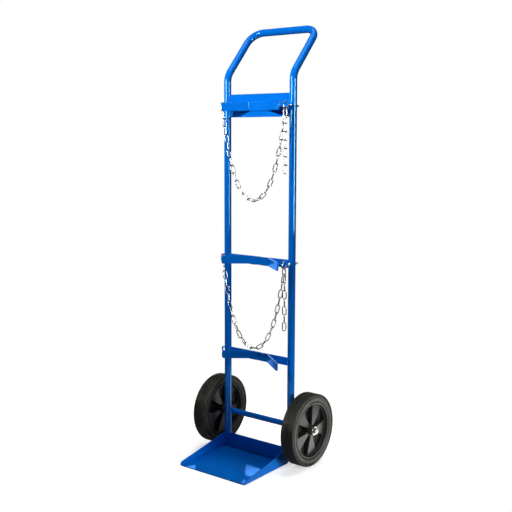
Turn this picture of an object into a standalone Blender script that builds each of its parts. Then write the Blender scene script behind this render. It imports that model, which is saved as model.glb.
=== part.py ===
"""Gas cylinder cart: a bent tube frame with a toe plate, three cradles, two wheels and two chains.

Metres, +Z up. +X points to the right wheel and -Y to the cylinder's side. The origin is on the floor, under
the middle of the cart's box. Inside the script, y is measured from the plane of the two uprights.
"""
import math

import bmesh
import bpy
from mathutils import Vector

# Gaps between pieces that touch: at rest, under a swinging chain link, and between two such links
CLEARANCE = 0.0003
SWING_GAP = 0.0004
SIDE_GAP = 0.001

# Frame: one bent tube, two uprights and a handle that leans back
TUBE_D = 0.025
TUBE_WALL = 0.002
UPRIGHT_SPACING = 0.278
FOOT_HEIGHT = 0.006
HANDLE_BEND_HEIGHT = 1.326
HANDLE_RISE = 0.156
HANDLE_REACH = 0.141
HANDLE_BEND_R = 0.057
HANDLE_CORNER_R = 0.048

# Toe plate: a folded sheet with a back wall and tapered side flanges
TOE_SHEET = 0.003
TOE_WIDTH = 0.282
TOE_DEPTH = 0.244
TOE_WALL_HEIGHT = 0.056
TOE_NOSE_HEIGHT = 0.013
TOE_NOSE_R = 0.008

# Flat bar of the crossbars and cradles, and the plate behind the top cradle
BAR_HEIGHT = 0.028
BAR_T = 0.005
TOP_PLATE_HEIGHT = 0.078
TOP_PLATE_RISE = 0.004

# Places of the cradles: the upper one below the handle's bend, and each of the others below the last
UPPER_DROP = 0.1055
MIDDLE_DROP = 0.525
LOWER_DROP = 0.3385

# Cradle: a flat bar on edge, bent to a shallow trough
CRADLE_SEAT = 0.085
CRADLE_ANGLE = math.radians(38)
CRADLE_LEFT_WING = 0.095
CRADLE_RIGHT_WING = 0.127
CRADLE_BEND_R = 0.012
CRADLE_END_R = 0.008

# Chain eye: a round rod from the left upright to the end of the cradle's left wing
EYE_ROD_D = 0.0055
EYE_STAND_OFF = 0.0155
EYE_BEND_R = 0.0065
EYE_DROP = 0.005
EYE_INSET = 0.0045

# Chain hook: an open eye bolt through the right upright, with a nut on each side of the tube
HOOK_WIRE_D = 0.006
HOOK_RING_R = 0.0115
HOOK_REACH = 0.045
HOOK_TAIL = 0.031
HOOK_NUT_FLATS = 0.010
HOOK_NUT_T = 0.005

# Chain: long links, each chain hung from its eye to its hook with the spare end hanging from the hook
LINK_PITCH = 0.027
LINK_WIRE_D = 0.0034
LINK_WIDTH = 0.0152
LINK_FUSE = 0.0012
LOOP_LINKS = {"upper": 26, "middle": 25}
TAIL_LINKS = 7
EYE_SEAT_GAP = 0.014

# Axle
AXLE_D = 0.012
AXLE_TUBE_WALL = 0.0037
AXLE_TUBE_LENGTH = 0.324
SPACER_D = 0.030
SPACER_T = 0.003
WASHER_D = 0.030
WASHER_T = 0.0025
AXLE_NUT_FLATS = 0.019
AXLE_NUT_T = 0.007
AXLE_END = 0.002

# Wheel: solid tyre on a moulded rim with a bush in its hub; the rim's disc is pocketed from each face in turn
TYRE_D = 0.250
TYRE_WIDTH = 0.052
TREAD_WIDTH = 0.034
SHOULDER_R = 0.009
RIM_SEAT_D = 0.196
RIM_WIDTH = 0.047
RIM_WALL = 0.0075
DISC_T = 0.020
WEB_T = 0.006
RIB_T = 0.004
HUB_D = 0.036
HUB_LENGTH = 0.056
BUSH_D = 0.018
WHEEL_PLAY = 0.0005
SPOKES = 5
POCKET_LEDGE = 0.0015
SPOKE_TURN = {"left": math.radians(-18), "right": math.radians(-10)}

# Derived places
TUBE_R = TUBE_D / 2
HALF_SPACING = UPRIGHT_SPACING / 2
HANDLE_HEIGHT = HANDLE_BEND_HEIGHT + HANDLE_RISE
CRADLE_HEIGHTS = {
    "upper": HANDLE_BEND_HEIGHT - UPPER_DROP,
    "middle": HANDLE_BEND_HEIGHT - UPPER_DROP - MIDDLE_DROP,
    "lower": HANDLE_BEND_HEIGHT - UPPER_DROP - MIDDLE_DROP - LOWER_DROP,
}
TOE_BACK_Y = -(TUBE_R + CLEARANCE)
TOE_FRONT_Y = TOE_BACK_Y - TOE_DEPTH
FRAME_Y = -(TOE_FRONT_Y + HANDLE_REACH + TUBE_R) / 2
AXLE_TUBE_D = AXLE_D + 2 * (CLEARANCE + AXLE_TUBE_WALL)
AXLE_Y = TUBE_R + CLEARANCE + AXLE_TUBE_D / 2
AXLE_Z = TYRE_D / 2
SPACER_X = AXLE_TUBE_LENGTH / 2 + CLEARANCE
WHEEL_X = SPACER_X + SPACER_T + WHEEL_PLAY + HUB_LENGTH / 2
WASHER_X = WHEEL_X + HUB_LENGTH / 2 + WHEEL_PLAY
AXLE_NUT_X = WASHER_X + WASHER_T + CLEARANCE
AXLE_HALF_LENGTH = AXLE_NUT_X + AXLE_NUT_T + AXLE_END
CRADLE_BACK_Y = -(BAR_T / 2 + CLEARANCE)
LINK_BEND_R = (LINK_WIDTH - LINK_WIRE_D) / 2
LINK_OVERREACH = (LINK_WIRE_D - LINK_FUSE) / 2

# Facets
TUBE_RESOLUTION = 4
BEND_STEPS = 4
ROD_RESOLUTION = 2
LINK_RESOLUTION = 1
TURNED_STEPS = 14
HOLE_SIDES = 8
TYRE_STEPS = 32

for old in list(bpy.data.objects):
    bpy.data.objects.remove(old, do_unlink=True)

PARTS = bpy.data.collections.new("gas_cylinder_cart")
CUTTERS = bpy.data.collections.new("cutters")
bpy.context.scene.collection.children.link(PARTS)
bpy.context.scene.collection.children.link(CUTTERS)

CART = bpy.data.objects.new("cart", None)
CART.location = (0, FRAME_Y, 0)
PARTS.objects.link(CART)


def finish(name, colour, metallic, roughness):
    made = bpy.data.materials.new(name)
    made.use_nodes = True
    shader = made.node_tree.nodes["Principled BSDF"]
    shader.inputs["Base Color"].default_value = (*colour, 1)
    shader.inputs["Metallic"].default_value = metallic
    shader.inputs["Roughness"].default_value = roughness
    return made


BLUE_PAINT = finish("blue_paint", (0.004, 0.09, 0.55), 0.0, 0.25)
ZINC = finish("zinc", (0.62, 0.62, 0.60), 1.0, 0.3)
RUBBER = finish("rubber", (0.025, 0.025, 0.023), 0.0, 0.75)
RIM_PLASTIC = finish("rim_plastic", (0.05, 0.05, 0.047), 0.0, 0.5)
BUSH_PLASTIC = finish("bush_plastic", (0.6, 0.6, 0.57), 0.0, 0.4)


def add(name, data, material, location=(0, 0, 0), rotation=(0, 0, 0), collection=PARTS):
    made = bpy.data.objects.new(name, data)
    made.parent = CART
    made.location = location
    made.rotation_euler = rotation
    data.materials.append(material)
    collection.objects.link(made)
    return made


def as_cutter(made):
    made.hide_render = True
    made.display_type = "WIRE"
    return made


def combine(made, other, operation):
    step = made.modifiers.new(operation.lower(), "BOOLEAN")
    step.operation = operation
    step.solver = "EXACT"
    step.object = other


def solidify(made, thickness, offset):
    wall = made.modifiers.new("wall", "SOLIDIFY")
    wall.thickness = thickness
    wall.offset = offset
    wall.use_even_offset = True
    wall.use_quality_normals = True


def rounded_path(corners, radii, steps):
    """Points along straight runs between corners, with an arc of the given radius at each inner corner."""
    corners = [Vector(c) for c in corners]
    points = [corners[0]]
    for before, corner, after, radius in zip(corners, corners[1:], corners[2:], radii):
        come = (corner - before).normalized()
        go = (after - corner).normalized()
        turn = come.angle(go)
        start = corner - come * radius * math.tan(turn / 2)
        inward = (go - come * come.dot(go)).normalized()
        for i in range(steps + 1):
            a = turn * i / steps
            points.append(start + come * radius * math.sin(a) + inward * radius * (1 - math.cos(a)))
    points.append(corners[-1])
    return points


def tube_curve(name, runs, diameter, resolution, closed=False, caps=True):
    """A curve of round wire along one or more runs of points."""
    curve = bpy.data.curves.new(name, "CURVE")
    curve.dimensions = "3D"
    curve.bevel_depth = diameter / 2
    curve.bevel_resolution = resolution
    curve.use_fill_caps = caps
    for run in runs:
        spline = curve.splines.new("POLY")
        spline.points.add(len(run) - 1)
        for point, place in zip(spline.points, run):
            point.co = (*place, 1)
        spline.use_cyclic_u = closed
        spline.use_smooth = True
    return curve


def flat_curve(name, outlines, thickness):
    """A filled 2D curve of one or more closed outlines; an outline inside another is a hole."""
    curve = bpy.data.curves.new(name, "CURVE")
    curve.dimensions = "2D"
    curve.fill_mode = "BOTH"
    curve.extrude = thickness / 2
    for outline in outlines:
        spline = curve.splines.new("POLY")
        spline.points.add(len(outline) - 1)
        for point, (x, y) in zip(spline.points, outline):
            point.co = (x, y, 0, 1)
        spline.use_cyclic_u = True
    return curve


def mesh_of(curve):
    """The curve as a mesh with its caps welded on."""
    holder = bpy.data.objects.new(curve.name, curve)
    PARTS.objects.link(holder)
    graph = bpy.context.evaluated_depsgraph_get()
    mesh = bpy.data.meshes.new_from_object(holder.evaluated_get(graph))
    bpy.data.objects.remove(holder)
    shape = bmesh.new()
    shape.from_mesh(mesh)
    bmesh.ops.remove_doubles(shape, verts=shape.verts, dist=CLEARANCE / 10)
    shape.to_mesh(mesh)
    shape.free()
    return mesh


def turned(name, profile, steps, material, location):
    """A profile of (radius, place along the axle) points, closed and turned about X."""
    mesh = bpy.data.meshes.new(name)
    count = len(profile)
    edges = [(i, (i + 1) % count) for i in range(count)]
    mesh.from_pydata([(r, 0, z) for r, z in profile], edges, [])
    made = add(name, mesh, material, location, (0, math.pi / 2, 0))
    screw = made.modifiers.new("turn", "SCREW")
    screw.axis = "Z"
    screw.steps = steps
    screw.render_steps = steps
    screw.use_merge_vertices = True
    screw.merge_threshold = CLEARANCE / 10
    return made


def ring(name, outer_r, inner_r, start_x, length, material):
    """A plain round sleeve or washer on the axle, from start_x towards +X."""
    profile = [(outer_r, length), (outer_r, 0), (inner_r, 0), (inner_r, length)]
    return turned(name, profile, TURNED_STEPS, material, (start_x, AXLE_Y, AXLE_Z))


def polygon(flats_r, count):
    """A regular outline whose sides touch a circle of the given radius."""
    corner_r = flats_r / math.cos(math.pi / count)
    return [(corner_r * math.cos(2 * math.pi * i / count), corner_r * math.sin(2 * math.pi * i / count))
            for i in range(count)]


def hex_nut(name, flats, bore_r, thickness, centre, rotation):
    mesh = mesh_of(flat_curve(name, [polygon(flats / 2, 6), polygon(bore_r, HOLE_SIDES)], thickness))
    return add(name, mesh, ZINC, centre, rotation)


def flat_bar(name, height, middle_z):
    """A flat bar on edge between the uprights, in their plane."""
    size = (UPRIGHT_SPACING - TUBE_D - 2 * CLEARANCE, BAR_T, height)
    shape = bmesh.new()
    bmesh.ops.create_cube(shape, size=1)
    bmesh.ops.scale(shape, vec=size, verts=shape.verts)
    mesh = bpy.data.meshes.new(name)
    shape.to_mesh(mesh)
    shape.free()
    return add(name, mesh, BLUE_PAINT, (0, 0, middle_z))


# Frame tube, open at both feet, with a cross hole for a chain hook at each cradle
def frame_tube():
    side = [(HALF_SPACING, 0, FOOT_HEIGHT), (HALF_SPACING, 0, HANDLE_BEND_HEIGHT),
            (HALF_SPACING, HANDLE_REACH, HANDLE_HEIGHT)]
    other_side = [(-x, y, z) for x, y, z in reversed(side)]
    radii = (HANDLE_BEND_R, HANDLE_CORNER_R, HANDLE_CORNER_R, HANDLE_BEND_R)
    path = rounded_path(side + other_side, radii, BEND_STEPS)
    mesh = mesh_of(tube_curve("frame_tube", [path], TUBE_D, TUBE_RESOLUTION, caps=False))
    tube = add("frame_tube", mesh, BLUE_PAINT)
    solidify(tube, TUBE_WALL, -1)
    hole_r = HOOK_WIRE_D / 2 + CLEARANCE
    for level, z in CRADLE_HEIGHTS.items():
        name = level + "_hook_hole"
        hole = mesh_of(flat_curve(name, [polygon(hole_r, HOLE_SIDES)], 2 * TUBE_D))
        cutter = add(name, hole, BLUE_PAINT, (HALF_SPACING, 0, z), (math.pi / 2, 0, 0), CUTTERS)
        combine(tube, as_cutter(cutter), "DIFFERENCE")


# Toe plate: the floor's two sides and back edge are folded up, lower at the nose than at the wall
def toe_plate():
    shape = bmesh.new()
    bmesh.ops.create_grid(shape, x_segments=1, y_segments=1, size=0.5)
    bmesh.ops.scale(shape, vec=(TOE_WIDTH, TOE_DEPTH, 1), verts=shape.verts)
    bmesh.ops.translate(shape, vec=(0, TOE_BACK_Y - TOE_DEPTH / 2, 0), verts=shape.verts)
    floor_front = TOE_FRONT_Y + TOE_DEPTH / 2
    folded = [e for e in shape.edges if any(v.co.y > floor_front for v in e.verts)]
    fold = bmesh.ops.extrude_edge_only(shape, edges=folded)
    upper = [v for v in fold["geom"] if isinstance(v, bmesh.types.BMVert)]
    for vert in upper:
        vert.co.z = TOE_WALL_HEIGHT if vert.co.y > floor_front else TOE_NOSE_HEIGHT
    noses = [v for v in upper if v.co.y < floor_front]
    bmesh.ops.bevel(shape, geom=noses, offset=TOE_NOSE_R, segments=4, profile=0.5, affect="VERTICES")
    bmesh.ops.recalc_face_normals(shape, faces=shape.faces)
    floor = min(shape.faces, key=lambda f: f.calc_center_median().z)
    if floor.normal.z < 0:
        bmesh.ops.reverse_faces(shape, faces=shape.faces)
    mesh = bpy.data.meshes.new("toe_plate")
    shape.to_mesh(mesh)
    shape.free()
    solidify(add("toe_plate", mesh, BLUE_PAINT), TOE_SHEET, 1)


# Cradle: the back of its seat lies on the bar behind it, and both wings reach forward
def wing_end(side, wing):
    """The end of a wing on the cradle's back face, and the wing's outward direction."""
    along = Vector((side * math.cos(CRADLE_ANGLE), -math.sin(CRADLE_ANGLE), 0))
    return Vector((side * CRADLE_SEAT / 2, CRADLE_BACK_Y, 0)) + along * wing, along


def cradle(level, middle_z):
    name = level + "_cradle"
    left, _ = wing_end(-1, CRADLE_LEFT_WING)
    right, _ = wing_end(1, CRADLE_RIGHT_WING)
    seat = [(-CRADLE_SEAT / 2, CRADLE_BACK_Y, 0), (CRADLE_SEAT / 2, CRADLE_BACK_Y, 0)]
    path = rounded_path([left, *seat, right], (CRADLE_BEND_R, CRADLE_BEND_R), 3)
    shape = bmesh.new()
    low = [shape.verts.new((p.x, p.y, -BAR_HEIGHT / 2)) for p in path]
    edges = [shape.edges.new(pair) for pair in zip(low, low[1:])]
    raised = bmesh.ops.extrude_edge_only(shape, edges=edges)
    top = [v for v in raised["geom"] if isinstance(v, bmesh.types.BMVert)]
    bmesh.ops.translate(shape, vec=(0, 0, BAR_HEIGHT), verts=top)
    ends = [v for v in shape.verts if (v.co.xy - left.xy).length < CLEARANCE
            or (v.co.xy - right.xy).length < CLEARANCE]
    bmesh.ops.bevel(shape, geom=ends, offset=CRADLE_END_R, segments=3, profile=0.5, affect="VERTICES")
    bmesh.ops.recalc_face_normals(shape, faces=shape.faces)
    if max(shape.faces, key=lambda f: f.calc_area()).normal.y > 0:
        bmesh.ops.reverse_faces(shape, faces=shape.faces)
    mesh = bpy.data.meshes.new(name)
    shape.to_mesh(mesh)
    shape.free()
    solidify(add(name, mesh, BLUE_PAINT, (0, 0, middle_z)), BAR_T, 1)


# Chain eye: out of the upright's side, round a tight bend and on to the back of the wing's end
def eye_corners(middle_z):
    """The eye's end at the upright, the corner of its bend and its end at the wing."""
    end, along = wing_end(-1, CRADLE_LEFT_WING)
    backwards = Vector((along.y, -along.x, 0))
    z = middle_z + BAR_HEIGHT / 2 - EYE_DROP
    foot = end - along * EYE_INSET + backwards * 2 * CLEARANCE
    tube_x = -(HALF_SPACING + TUBE_R + CLEARANCE)
    return [Vector((tube_x, 0, z)), Vector((tube_x - EYE_STAND_OFF, 0, z)), Vector((foot.x, foot.y, z))]


def chain_eye(level, middle_z):
    path = rounded_path(eye_corners(middle_z), (EYE_BEND_R,), BEND_STEPS)
    curve = tube_curve(level + "_chain_eye", [path], EYE_ROD_D, ROD_RESOLUTION)
    add(level + "_chain_eye", curve, BLUE_PAINT)


# Chain hook: the shank runs back through the upright, the ring hangs below it and stays open above
def chain_hook(level, z):
    ring_y = -HOOK_REACH
    first, last, count = math.radians(-40), math.radians(-275), 10
    turns = [first + (last - first) * i / count for i in range(count + 1)]
    loop = [(HALF_SPACING, ring_y + HOOK_RING_R * math.cos(a), z + HOOK_RING_R * math.sin(a)) for a in turns]
    neck_y = ring_y + 1.7 * HOOK_RING_R
    path = [(HALF_SPACING, HOOK_TAIL, z), (HALF_SPACING, neck_y, z), *loop]
    add(level + "_hook", tube_curve(level + "_hook", [path], HOOK_WIRE_D, ROD_RESOLUTION), ZINC)
    nut_y = TUBE_R + CLEARANCE + HOOK_NUT_T / 2
    for side, place in ((-1, "front"), (1, "back")):
        hex_nut(f"{level}_hook_{place}_nut", HOOK_NUT_FLATS, HOOK_WIRE_D / 2 + CLEARANCE, HOOK_NUT_T,
                (HALF_SPACING, side * nut_y, z), (math.pi / 2, 0, 0))


# Chain links
def link_path(middle, along, across):
    """A long link round its middle: straight legs and two bends, of which the outer thirds are sloped."""
    half_length = (LINK_PITCH + 2 * LINK_OVERREACH) / 2
    leg = half_length - LINK_BEND_R * math.cos(math.radians(30))
    points = []
    for end in (1, -1):
        for degrees in (90, 30, -30, -90):
            a = math.radians(degrees)
            points.append(middle + along * end * (leg + LINK_BEND_R * math.cos(a))
                          + across * end * LINK_BEND_R * math.sin(a))
    return points


def hanging_run(start, end, count):
    """Directions of equal links hung between two points: their slopes grow by equal steps."""
    flat = Vector((end.x - start.x, end.y - start.y, 0))
    lengths = [LINK_PITCH] * count
    lengths[0] += LINK_OVERREACH
    lengths[-1] += LINK_OVERREACH

    def reach(step, middle):
        slopes = [math.atan(step * (i + 0.5 - middle)) for i in range(count)]
        return (sum(l * math.cos(s) for l, s in zip(lengths, slopes)),
                sum(l * math.sin(s) for l, s in zip(lengths, slopes)), slopes)

    def lowest_link(step):
        low, high = -count, 2 * count
        for _ in range(50):
            middle = (low + high) / 2
            if reach(step, middle)[1] > end.z - start.z:
                low = middle
            else:
                high = middle
        return middle

    gentle, steep = 0.0, 10.0
    for _ in range(50):
        step = (gentle + steep) / 2
        if reach(step, lowest_link(step))[0] > flat.length:
            gentle = step
        else:
            steep = step
    slopes = reach(step, lowest_link(step))[2]
    flat.normalize()
    return [flat * math.cos(s) + Vector((0, 0, math.sin(s))) for s in slopes], lengths


def chain(name, pivot, start, directions, lengths, rolls, side):
    """Links along the run, fused where each hangs in the next; roll turns a link from the side direction."""
    middles = []
    place = start.copy()
    for i, (along, length) in enumerate(zip(directions, lengths)):
        near = place if i == 0 else place - along * LINK_OVERREACH
        middles.append(near + along * (LINK_PITCH / 2 + LINK_OVERREACH))
        place += along * length
    paths = []
    for middle, along, roll in zip(middles, directions, rolls):
        across = side * math.cos(roll) + along.cross(side) * math.sin(roll)
        paths.append([p - pivot for p in link_path(middle, along, across.normalized())])
    odd = mesh_of(tube_curve(name, paths[0::2], LINK_WIRE_D, LINK_RESOLUTION, closed=True))
    even = mesh_of(tube_curve(name + "_even", paths[1::2], LINK_WIRE_D, LINK_RESOLUTION, closed=True))
    made = add(name, odd, ZINC, pivot)
    combine(made, as_cutter(add(name + "_even", even, ZINC, pivot, collection=CUTTERS)), "UNION")


def hung_chain(level, z):
    """The hooked link, the loop from the eye to that link, and the spare end beside it."""
    wire = LINK_WIRE_D
    half_length = LINK_PITCH / 2 + LINK_OVERREACH
    hook_seat = Vector((HALF_SPACING, -HOOK_REACH, z - HOOK_RING_R + (HOOK_WIRE_D + wire) / 2 + CLEARANCE))
    middle = hook_seat - Vector((0, 0, half_length))
    down = Vector((0, 0, -1))
    right = Vector((1, 0, 0))
    path = [p - middle for p in link_path(middle, down, right)]
    hooked = tube_curve(level + "_hooked_link", [path], wire, LINK_RESOLUTION, closed=True)
    add(level + "_hooked_link", hooked, ZINC, middle)

    apart = (wire + SIDE_GAP) / 2
    slope = math.radians(30)
    inside = (LINK_BEND_R * math.sin(slope) - apart) * math.cos(slope)
    rise = (wire + SWING_GAP - inside) / math.sin(slope)
    seat = middle + Vector((0, 0, rise - half_length))

    _, corner, foot = eye_corners(z)
    back = (corner - foot).normalized()
    pivot = foot + back * EYE_SEAT_GAP
    start = pivot + Vector((0, 0, (EYE_ROD_D + wire) / 2 + SWING_GAP))
    end = seat - right * apart
    count = LOOP_LINKS[level]
    directions, lengths = hanging_run(start, end, count)
    side = Vector((end.y - start.y, start.x - end.x, 0)).normalized()
    turned_away = math.radians(30)
    rolls = [turned_away + math.pi / 2 * (count - 2 - i) for i in range(count - 1)] + [0.0]
    eye_across = Vector((-back.y, back.x, 0))
    wanted = math.atan2(eye_across.dot(directions[0].cross(side)), eye_across.dot(side))
    twist = (wanted - rolls[0] + math.pi / 2) % math.pi - math.pi / 2
    rolls = [r + twist * (1 - i / (count - 2)) for i, r in enumerate(rolls[:-1])] + [0.0]
    chain(level + "_chain", pivot, start, directions, lengths, rolls, side)

    tail_lengths = [LINK_PITCH + LINK_OVERREACH] + [LINK_PITCH] * (TAIL_LINKS - 1)
    tail_rolls = [0.0] + [-turned_away - math.pi / 2 * i for i in range(TAIL_LINKS - 1)]
    start = seat + right * apart
    chain(level + "_chain_tail", start, start, [down] * TAIL_LINKS, tail_lengths, tail_rolls, side)


# Axle: a rod in a tube that is welded behind the uprights, with a nut and washer outside each wheel
def axle():
    rod_r = AXLE_D / 2
    shape = bmesh.new()
    bmesh.ops.create_cone(shape, cap_ends=True, segments=TURNED_STEPS, radius1=rod_r, radius2=rod_r,
                          depth=2 * AXLE_HALF_LENGTH)
    mesh = bpy.data.meshes.new("axle_rod")
    shape.to_mesh(mesh)
    shape.free()
    mesh.shade_smooth()
    mesh.set_sharp_from_angle(angle=math.radians(40))
    add("axle_rod", mesh, ZINC, (0, AXLE_Y, AXLE_Z), (0, math.pi / 2, 0))
    bore_r = rod_r + CLEARANCE
    ring("axle_tube", AXLE_TUBE_D / 2, bore_r, -AXLE_TUBE_LENGTH / 2, AXLE_TUBE_LENGTH, BLUE_PAINT)
    for side, place in ((-1, "left"), (1, "right")):
        spacer_x = SPACER_X if side > 0 else -SPACER_X - SPACER_T
        ring(place + "_spacer", SPACER_D / 2, bore_r, spacer_x, SPACER_T, ZINC)
        washer_x = WASHER_X if side > 0 else -WASHER_X - WASHER_T
        ring(place + "_washer", WASHER_D / 2, bore_r, washer_x, WASHER_T, ZINC)
        nut_x = side * (AXLE_NUT_X + AXLE_NUT_T / 2)
        hex_nut(place + "_axle_nut", AXLE_NUT_FLATS, bore_r, AXLE_NUT_T, (nut_x, AXLE_Y, AXLE_Z),
                (0, math.pi / 2, 0))


# Wheel
def tyre_profile():
    """Rounded shoulders from the tread to the side walls, which draw in towards the rim."""
    tread_r = TYRE_D / 2
    half = TYRE_WIDTH / 2
    shoulder = []
    for degrees in (0, 30, 60, 90):
        a = math.radians(degrees)
        shoulder.append((tread_r - SHOULDER_R * (1 - math.sin(a)),
                         TREAD_WIDTH / 2 + (half - TREAD_WIDTH / 2) * math.cos(a)))
    top = [(RIM_SEAT_D / 2 + CLEARANCE, RIM_WIDTH / 2), *shoulder]
    return top + [(r, -z) for r, z in reversed(top)]


def rim_profile():
    """Rim wall, disc and hub in section."""
    seat_r = RIM_SEAT_D / 2
    half = RIM_WIDTH / 2
    disc = DISC_T / 2
    hub = HUB_LENGTH / 2
    bore_r = BUSH_D / 2 + CLEARANCE
    lower = [(seat_r, -half), (seat_r - RIM_WALL, -half), (seat_r - RIM_WALL, -disc), (HUB_D / 2, -disc),
             (HUB_D / 2, -hub), (bore_r, -hub)]
    return lower + [(r, -z) for r, z in reversed(lower)]


def pocket_outlines(first):
    """Tapered pockets seen along the axle, with ribs of even thickness between one face's and the other's."""
    inner_r = HUB_D / 2 + POCKET_LEDGE
    outer_r = RIM_SEAT_D / 2 - RIM_WALL - POCKET_LEDGE
    outlines = []
    for i in range(SPOKES):
        middle = first + 2 * math.pi * i / SPOKES
        points = []
        for radius, shares in ((inner_r, (-1, 1)), (outer_r, (1, 1 / 3, -1 / 3, -1))):
            half = math.pi / (2 * SPOKES) - math.asin(RIB_T / 2 / radius)
            points += [(radius * math.cos(middle + s * half), radius * math.sin(middle + s * half))
                       for s in shares]
        outlines.append(points)
    return outlines


def wheel(side, place):
    """The spokes of the face towards +X are turned from straight back; those of the other face lie between."""
    centre = (side * WHEEL_X, AXLE_Y, AXLE_Z)
    turned(place + "_tyre", tyre_profile(), TYRE_STEPS, RUBBER, centre)
    rim = turned(place + "_rim", rim_profile(), TYRE_STEPS, RIM_PLASTIC, centre)
    depth = DISC_T - WEB_T
    straight_back = math.pi / 2
    for face in (-1, 1):
        name = f"{place}_pockets_{'outer' if face == side else 'inner'}"
        first = straight_back + SPOKE_TURN[place] + (math.pi / SPOKES if face > 0 else 0)
        mesh = mesh_of(flat_curve(name, pocket_outlines(first), 2 * depth))
        x = centre[0] + face * (DISC_T / 2)
        cutter = add(name, mesh, RIM_PLASTIC, (x, AXLE_Y, AXLE_Z), (0, math.pi / 2, 0), CUTTERS)
        combine(rim, as_cutter(cutter), "DIFFERENCE")
    bush_x = centre[0] - HUB_LENGTH / 2
    ring(place + "_bush", BUSH_D / 2, AXLE_D / 2 + CLEARANCE, bush_x, HUB_LENGTH, BUSH_PLASTIC)


frame_tube()
toe_plate()
flat_bar("top_plate", TOP_PLATE_HEIGHT, CRADLE_HEIGHTS["upper"] + TOP_PLATE_RISE)
for level in ("middle", "lower"):
    flat_bar(level + "_crossbar", BAR_HEIGHT, CRADLE_HEIGHTS[level])
for level, height in CRADLE_HEIGHTS.items():
    cradle(level, height)
    chain_eye(level, height)
for level in ("upper", "middle"):
    chain_hook(level, CRADLE_HEIGHTS[level])
    hung_chain(level, CRADLE_HEIGHTS[level])
axle()
for side, place in ((-1, "left"), (1, "right")):
    wheel(side, place)
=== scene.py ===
import math

import bmesh
import bpy
from mathutils import Euler, Matrix, Vector


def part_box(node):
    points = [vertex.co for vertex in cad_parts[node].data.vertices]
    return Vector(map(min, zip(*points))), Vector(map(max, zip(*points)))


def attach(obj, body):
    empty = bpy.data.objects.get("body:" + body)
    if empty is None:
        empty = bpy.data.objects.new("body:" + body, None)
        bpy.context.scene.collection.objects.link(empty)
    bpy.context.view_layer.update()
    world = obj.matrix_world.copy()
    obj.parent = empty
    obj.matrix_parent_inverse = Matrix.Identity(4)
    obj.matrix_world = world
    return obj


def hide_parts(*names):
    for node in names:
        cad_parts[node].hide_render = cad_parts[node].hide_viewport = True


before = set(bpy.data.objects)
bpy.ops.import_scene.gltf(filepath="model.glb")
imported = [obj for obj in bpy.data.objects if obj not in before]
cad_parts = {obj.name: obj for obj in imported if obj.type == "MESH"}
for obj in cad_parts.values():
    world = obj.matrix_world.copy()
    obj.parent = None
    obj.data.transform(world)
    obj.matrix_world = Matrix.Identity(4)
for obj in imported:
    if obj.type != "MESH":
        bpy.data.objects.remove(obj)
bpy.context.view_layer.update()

# Frame tube: one length of steel tube, bent cold into two uprights and a handle that leans back,
# with a hole drilled through the right upright beside each cradle. Its feet are open.
# The whole frame is sprayed in one gloss blue, which lies a little uneven.
TUBE_R = 0.0125
TUBE_WALL = 0.002
TUBE_SIDES = 40
UPRIGHT_X = 0.139
UPRIGHT_Y = 0.05165
FOOT_Z = 0.006
BEND_Z = 1.326
GRIP_Z = 1.482
HANDLE_LEAN = 0.141
GRIP_Y = UPRIGHT_Y + HANDLE_LEAN
BEND_R = 0.057
CORNER_R = 0.048
BEND_STEPS = 20
CRADLE_Z = {"upper": 1.2205, "middle": 0.6955, "lower": 0.357}
HOOK_HOLE_R = 0.0033
HOLE_SIDES = 24
DRILL_LENGTH = 4 * TUBE_R
CREASE = math.radians(38)
MERGE_GAP = 1e-6


def feed(tree, sockets, values):
    """Sets each socket to its plain value, or links it to the output socket that feeds it."""
    for key, value in values.items():
        if isinstance(value, bpy.types.NodeSocket):
            tree.links.new(value, sockets[key])
        else:
            sockets[key].default_value = value


def node(tree, kind, inputs=None, **settings):
    """A node in the tree, with its settings and then its inputs filled in."""
    made = tree.nodes.new(kind)
    for key, value in settings.items():
        setattr(made, key, value)
    feed(tree, made.inputs, inputs or {})
    return made


def typed(sockets, kind, name=None):
    """The sockets of one type, and of one name if it is given: some nodes have several under one name."""
    return [s for s in sockets if s.type == kind and name in (None, s.name)]


def add_sockets(tree, way, labels):
    for label, kind in labels.items():
        tree.interface.new_socket(label, in_out=way, socket_type="NodeSocket" + kind)


def ranged(tree, value, start=(0, 1), end=(0, 1), **settings):
    """The value, carried over from its start range to the end range."""
    limits = dict(zip(("From Min", "From Max", "To Min", "To Max"), (*start, *end)))
    return node(tree, "ShaderNodeMapRange", {"Value": value, **limits}, **settings).outputs["Result"]


def mixed(tree, kind, factor, first, second):
    """A mix of two colours (RGBA) or of two values (VALUE)."""
    made = node(tree, "ShaderNodeMix", {"Factor": factor}, data_type="FLOAT" if kind == "VALUE" else kind)
    feed(tree, typed(made.inputs, kind)[-2:], {0: first, 1: second})
    return typed(made.outputs, kind)[0]


def uneven_coat_group():
    """Slow clouds and fine grain over a surface, each from 0 to 1."""
    group = bpy.data.node_groups.new("uneven_coat", "ShaderNodeTree")
    add_sockets(group, "INPUT", {"Vector": "Vector", "Cloud Scale": "Float", "Grain Scale": "Float"})
    add_sockets(group, "OUTPUT", {"Cloud": "Float", "Grain": "Float"})
    start = node(group, "NodeGroupInput").outputs
    cloud = node(group, "ShaderNodeTexNoise", {"Vector": start["Vector"], "Scale": start["Cloud Scale"],
                 "Detail": 4.0, "Roughness": 0.6})
    grain = node(group, "ShaderNodeTexNoise", {"Vector": start["Vector"], "Scale": start["Grain Scale"],
                 "Detail": 2.0, "Roughness": 0.5})
    node(group, "NodeGroupOutput", {"Cloud": ranged(group, cloud.outputs["Fac"], (0.3, 0.7)),
         "Grain": grain.outputs["Fac"]})
    return group


uneven_coat = uneven_coat_group()


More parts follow.
